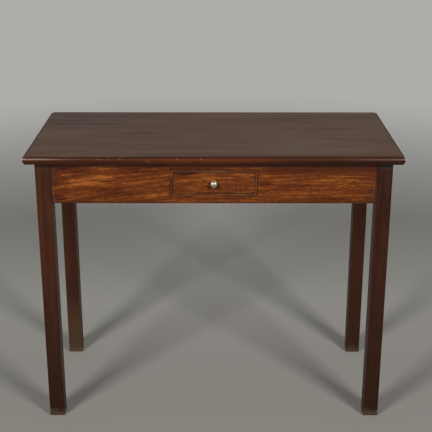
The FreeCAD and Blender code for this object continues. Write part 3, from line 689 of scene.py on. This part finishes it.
for side, (axis, rubbed_tint) in BEAD_SIDES.items():
    beads = Finish("bead_polish_" + side)
    mahogany(beads, axis, 11, BEAD_PALETTE, THIN_POLISH)
    rubbed_bead = spots(beads.place, drawn_out(axis, 26.0, 5.0)).rise(0.36, 0.62)
    on_nose = beads.y.fall(bead_nose + 0.2, bead_nose + 1.6)
    beads.lay(0.6 * rubbed_bead * on_nose, rubbed_tint, rough=0.45)
    grimy = spots(beads.place, drawn_out(axis, 48.0, 4.0)).rise(0.48, 0.66)
    beads.lay(0.55 * grimy, BEAD_GRIME, rough=DIRTY)
    beads.lay(0.6 * beads.y.rise(FACE_Y - 0.9, FACE_Y - 0.1), BEAD_GRIME, rough=GRIMY_ROUGH)
    beads.lay(0.6 * soft_spot(beads, *BEAD_GRIME_AND_SHADE), BEAD_GRIME, rough=GRIMY_ROUGH)
    beads.close(["cock_bead_" + side], gloss=0.12, coat_roughness=0.28)

# %% [markdown]
# ## Deal inside
# What doesn't show was made of deal, a plain softwood: the drawer's sides, back and bottom, and the
# runners, guides, kickers, stops and blocks. Its growth rings are wide and clear, pale where the tree grew
# in spring and dark where it grew in summer. Noise alone gives no rings, so the distance from the heart of
# a tree is divided by the width of a ring, and what is left over after whole rings is the place within
# one.

# %% Deal
SPRING_WOOD, SUMMER_WOOD = (178, 138, 92), (132, 86, 48)
DARK_FIBRE, OLD_DUST = (120, 84, 52), (104, 80, 58)
DEAL_ROUGH, DUSTY_ROUGH = 0.72, 0.85
SMOOTHER_IN_SUMMER = 0.12
FIBRE_RELIEF, RING_RELIEF = 0.05, 0.04
RING_WIDTH = 3.1
HEART = (137.0, 91.0, 520.0)
MADE_OF_DEAL = ("drawer_", "glue_block_")
NOT_OF_DEAL = ("drawer_front", "drawer_bottom_nails")
# Boards whose grain runs from side to side, whatever their shape
GRAIN_ACROSS = ("drawer_back", "drawer_bottom")


def deal(name, axis, dressed):
    """Bare softwood whose grain runs along one axis."""
    finish = Finish(name)
    wandering = swayed(finish.place, axis)
    across = drawn_out(axis, 0.0, 1.0)
    from_heart = wandering.vector("SUBTRACT", HEART).vector("MULTIPLY", across).length()
    rings = from_heart / RING_WIDTH + 0.8 * spots(finish.place, drawn_out(axis, 300.0, 18.0))
    summer = rings.math("FRACT", rings).rise(0.30, 0.97)
    finish.layers["Base Color"] = (0.75 * summer).blend(colour(*SPRING_WOOD), colour(*SUMMER_WOOD))
    finish.layers["Roughness"] = DEAL_ROUGH - SMOOTHER_IN_SUMMER * summer
    finish.layers["Coat Weight"] = 0.0
    fibres = spots(wandering, drawn_out(axis, 45.0, 0.6))
    finish.height = FIBRE_RELIEF * fibres + RING_RELIEF * summer
    finish.lay(0.35 * fibres.rise(0.5, 0.7), DARK_FIBRE)
    dust = spots(finish.place, (70.0, 70.0, 40.0), 4.0).rise(0.42, 0.66)
    finish.lay(0.55 * dust, OLD_DUST, rough=DUSTY_ROUGH)
    finish.close(dressed, gloss=0.2)


of_deal = sorted(name for name in nodes if name.startswith(MADE_OF_DEAL) and name not in NOT_OF_DEAL)
grain_ways = {"X": [], "Y": [], "Z": []}
for name in of_deal:
    low, high = box_mm(name)
    sides = [end - start for start, end in zip(low, high)]
    longest = "XYZ"[sides.index(max(sides))]
    grain_ways["X" if name in GRAIN_ACROSS else longest].append(name)
for axis, dressed in grain_ways.items():
    if dressed:
        deal("deal_" + axis.lower(), axis, dressed)

# %% [markdown]
# ## Metal
# The knob is nickel, bright on its dome, where fingers touch it, and browned on its upper side. On its foot
# the plating has gone and the browner metal below shows. Screws, nails, washer and nut are old iron with
# some rust, and rust isn't a metal any more, so the metal layer goes down there.

# %% Knob
NICKEL, TARNISH, KNOB_DIRT = (192, 181, 166), (166, 146, 120), (62, 48, 36)
CROWN_TARNISH, WORN_PLATING = (126, 94, 66), (104, 70, 50)
KNOB_FOOT = 3.8

knob = Finish("nickel")
knob.layers.update({"Base Color": colour(*NICKEL), "Roughness": 0.25, "Metallic": 1.0})
rubbing = spots(knob.place, (1.2, 1.2, 0.3), 4.0)
knob.height = 0.01 * rubbing
knob.lay(rubbing.rise(0.45, 0.7), rough=0.34)
tarnished = spots(knob.place, (5.0, 5.0, 4.0), 4.0).rise(0.45, 0.65)
knob.lay(0.5 * tarnished, TARNISH, rough=0.36)
knob.lay(0.6 * knob.z.rise(KNOB_Z + 3.0, KNOB_Z + 6.5), CROWN_TARNISH, rough=0.45)
on_foot = knob.y.rise(FACE_Y - KNOB_FOOT - 1.5, FACE_Y - KNOB_FOOT)
knob.lay(0.8 * on_foot, WORN_PLATING, rough=DIRTY, metal=0.7)
knob.lay(0.8 * knob.y.rise(FACE_Y - 0.8, FACE_Y - 0.2), KNOB_DIRT, rough=DIRTY)
knob.close(["knob"])

# %% Iron
IRON, RUST = (82, 76, 71), (104, 60, 36)

iron = Finish("old_iron")
iron.layers.update({"Base Color": colour(*IRON), "Roughness": 0.45, "Metallic": 1.0})
rust = spots(iron.place, (2.5, 2.5, 2.5), 5.0).rise(0.46, 0.60)
iron.lay(rust, RUST, rough=0.85, metal=0.1, depth=0.03)
iron.close(["top_screws", "drawer_bottom_nails", "knob_washer", "knob_nut"])

# %% [markdown]
# ## Eased edges
# A plane leaves an edge sharp only for a moment: the maker eases it, and years round it further. The
# pieces below have sharp edges in the model, so a small bevel breaks them and lets them catch the light.
# The model's faces come unjoined, so a weld goes first. Legs, top, beads and knob have their own rounds.

# %% Ease the sharp edges
EASED = (
    "front_frieze",
    "rear_rail",
    "end_rail_",
    "drawer_front",
    "drawer_side_",
    "drawer_runner_",
    "drawer_guide_",
    "drawer_kicker_",
    "drawer_stop_",
    "glue_block_",
)
SAME_POINT = 2e-6
EASE_WIDTH = 0.0006
EASE_STEPS = 2
SHARP_ANGLE = math.radians(35)


def join_faces(name):
    """Joins the faces of a piece along its edges."""
    weld = nodes[name].modifiers.new("join_faces", "WELD")
    weld.merge_threshold = SAME_POINT


eased = sorted(name for name in nodes if name.startswith(EASED))
for name in eased:
    join_faces(name)
    ease = nodes[name].modifiers.new("ease_edges", "BEVEL")
    ease.width = EASE_WIDTH
    ease.segments = EASE_STEPS
    ease.limit_method = "ANGLE"
    ease.angle_limit = SHARP_ANGLE
print("pieces with eased edges:", len(eased))

# %% [markdown]
# ## Chips and nail holes
# Old edges are chipped, two nails once sat low in the frieze on the right, and the feet have lost
# splinters. Paint alone would stay flat in a low light, so ragged hollows are cut out of the pieces by a
# Boolean. Its cutters are squashed balls with their points moved by chance, from a fixed seed so that they
# come out the same each time. They stay hidden. A Boolean spoils the shading of a rounded piece, so an
# edge split puts the sharp edges back.

# %% Cutting ragged hollows
RAGGED = 0.3
CHANCE_SEED = 5
chance = random.Random(CHANCE_SEED)


def cut_hollows(name, hollows):
    """Cuts ragged hollows, each with its middle and its reach in millimetres, out of a piece."""
    cutter_mesh = bmesh.new()
    for middle, reach in hollows:
        ball = bmesh.ops.create_icosphere(cutter_mesh, subdivisions=2, radius=1.0)
        for point in ball["verts"]:
            swell = 1 + RAGGED * chance.uniform(-1, 1)
            moved = [at + far * swell * along for at, far, along in zip(middle, reach, point.co)]
            point.co = Vector(moved) / MM_PER_METRE
    cutter_data = bpy.data.meshes.new("cutter_" + name)
    cutter_mesh.to_mesh(cutter_data)
    cutter_mesh.free()
    cutter = bpy.data.objects.new("cutter_" + name, cutter_data)
    scene.collection.objects.link(cutter)
    cutter.hide_render = True
    hollow = nodes[name].modifiers.new("hollows", "BOOLEAN")
    hollow.operation = "DIFFERENCE"
    hollow.solver = "EXACT"
    hollow.use_self = True
    hollow.object = cutter
    split = nodes[name].modifiers.new("sharp_edges", "EDGE_SPLIT")
    split.split_angle = SHARP_ANGLE
    print(name, "has hollows:", len(hollows))


print("hollows can be cut")

# %% [markdown]
# The chips are cut where the finish of the top tinted them, from the same list, so tint and hollow meet.
# Low on each leg, three of its four edges lose a splinter.

# %% Chips, nail holes and splinters
NAIL_HOLE_DEPTH = 3.0
CHIP_REACH = 4.0
FOOT_CHIPS = 3
# Splinters, from the least to the most: reach across the leg, reach up it, height above the floor
SPLINTER_WIDTH, SPLINTER_LENGTH, SPLINTER_HEIGHT = (1.5, 3.0), (3.0, 8.0), (2.0, 70.0)

chips = []
for x, z, half_length, half_height, depth, _ in EDGE_CHIPS:
    chips.append(((x, top_low[1] - CHIP_REACH + depth, z), (half_length, CHIP_REACH, half_height)))
join_faces("tabletop")
cut_hollows("tabletop", chips)

holes = [((x, FACE_Y, z), (radius, NAIL_HOLE_DEPTH, radius)) for x, z, radius in NAIL_HOLES]
cut_hollows("front_frieze", holes)

for name in LEGS:
    low, high = box_mm(name)
    leg_corners = [(x, y) for x in (low[0], high[0]) for y in (low[1], high[1])]
    splinters = []
    for x, y in chance.sample(leg_corners, FOOT_CHIPS):
        reach = [chance.uniform(*sizes) for sizes in (SPLINTER_WIDTH, SPLINTER_WIDTH, SPLINTER_LENGTH)]
        splinters.append(((x, y, chance.uniform(*SPLINTER_HEIGHT)), reach))
    join_faces(name)
    cut_hollows(name, splinters)

# %% [markdown]
# ## Floor
# A plain pale floor keeps the shadow of the table. It is one large sheet, paler at the back, that
# turns clear with distance, so the pale room behind shows through and no edge or horizon is seen. The
# paler back is painted light: it makes up for the light that the lamps lose further off. From below it is
# clear all over, which leaves the underside of the table open to view.

# %% Floor
FLOOR_RADIUS = 40.0
FLOOR_FRONT, FLOOR_BACK = (158, 155, 148), (222, 219, 212)
FLOOR_ROUGH = 0.8
PALER_FROM, PALER_TO = -0.3, 1.5
FADE_START, FADE_END = 1.4, 3.9

floor_mesh = bpy.data.meshes.new("floor")
corners = [(FLOOR_RADIUS * x, FLOOR_RADIUS * y, 0) for x, y in ((-1, -1), (1, -1), (1, 1), (-1, 1))]
floor_mesh.from_pydata(corners, [], [range(len(corners))])
floor = bpy.data.objects.new("floor", floor_mesh)
scene.collection.objects.link(floor)

floor_paint = bpy.data.materials.new("floor_paint")
floor_paint.use_nodes = True
paint_nodes = floor_paint.node_tree.nodes
paint = paint_nodes["Principled BSDF"]
paint.inputs["Roughness"].default_value = FLOOR_ROUGH
ground = Wire(floor_paint.node_tree).node("TexCoord", take="Object")
backwards = ground.node("SeparateXYZ", sockets={"Vector": ground}).out("Y")
shade = backwards.rise(PALER_FROM, PALER_TO).blend(colour(*FLOOR_FRONT), colour(*FLOOR_BACK))
ground.feed(paint.inputs["Base Color"], shade)
from_below = ground.node("NewGeometry", take="Backfacing")
faded = ground.length().rise(FADE_START, FADE_END).larger(from_below)
painted = Wire(floor_paint.node_tree, paint.outputs["BSDF"])
sheet = ground.node("MixShader", sockets={0: faded, 1: painted, 2: ground.node("BsdfTransparent")})
ground.feed(paint_nodes["Material Output"].inputs["Surface"], sheet)
floor_mesh.materials.append(floor_paint)
print("floor fades out from", FADE_START, "to", FADE_END, "metres")

# %% [markdown]
# ## Light
# Two softboxes stand left and right of the camera, higher than the table. Each leg throws two shadows,
# sharp at the foot and wider further off, and the boxes are low enough to reach under the edge of the
# top. The room itself is dark, with a pale wall behind that lights the rear. Camera and gloss see it as a
# pale backdrop all round.

# %% Lamps
LAMP_PLACES = {"left": Vector((-1.9, -2.75, 2.1)), "right": Vector((1.9, -2.75, 2.1))}
LAMP_AIM = Vector((0, 0, 0.5))
LAMP_WIDTH, LAMP_HEIGHT = 0.85, 0.9
LAMP_WATTS = 79.0

for side, place in LAMP_PLACES.items():
    lamp_data = bpy.data.lights.new("softbox_" + side, "AREA")
    lamp_data.shape = "RECTANGLE"
    lamp_data.size = LAMP_WIDTH
    lamp_data.size_y = LAMP_HEIGHT
    lamp_data.energy = LAMP_WATTS
    lamp = bpy.data.objects.new("softbox_" + side, lamp_data)
    scene.collection.objects.link(lamp)
    lamp.location = place
    lamp.rotation_euler = (LAMP_AIM - place).to_track_quat("-Z", "Y").to_euler()
print("lamps:", ", ".join(LAMP_PLACES))

# %% Room
LIT_ROOM, LIT_WALL = (30, 30, 30), (190, 190, 187)
SEEN_FRONT, SEEN_BACK = (172, 172, 170), (175, 173, 170)

world = bpy.data.worlds.new("studio")
world.use_nodes = True
scene.world = world
aim = Wire(world.node_tree).node("TexCoord", take="Generated")
way = aim.node("SeparateXYZ", sockets={"Vector": aim})
to_back = way.out("Y").rise(-0.5, 0.8)
wall = way.out("Y").rise(-0.1, 0.5) * way.out("Z").fall(0.2, 0.7)
lit = wall.blend(colour(*LIT_ROOM), colour(*LIT_WALL))
seen = to_back.blend(colour(*SEEN_FRONT), colour(*SEEN_BACK))
ray = aim.node("LightPath", take="Is Camera Ray")
looks = ray.larger(ray.out("Is Glossy Ray")).larger(ray.out("Is Transmission Ray"))
aim.feed(world.node_tree.nodes["Background"].inputs["Color"], looks.blend(lit, seen))
print("room set")

# %% [markdown]
# ## End

# %% Finish
print("the scene is set")
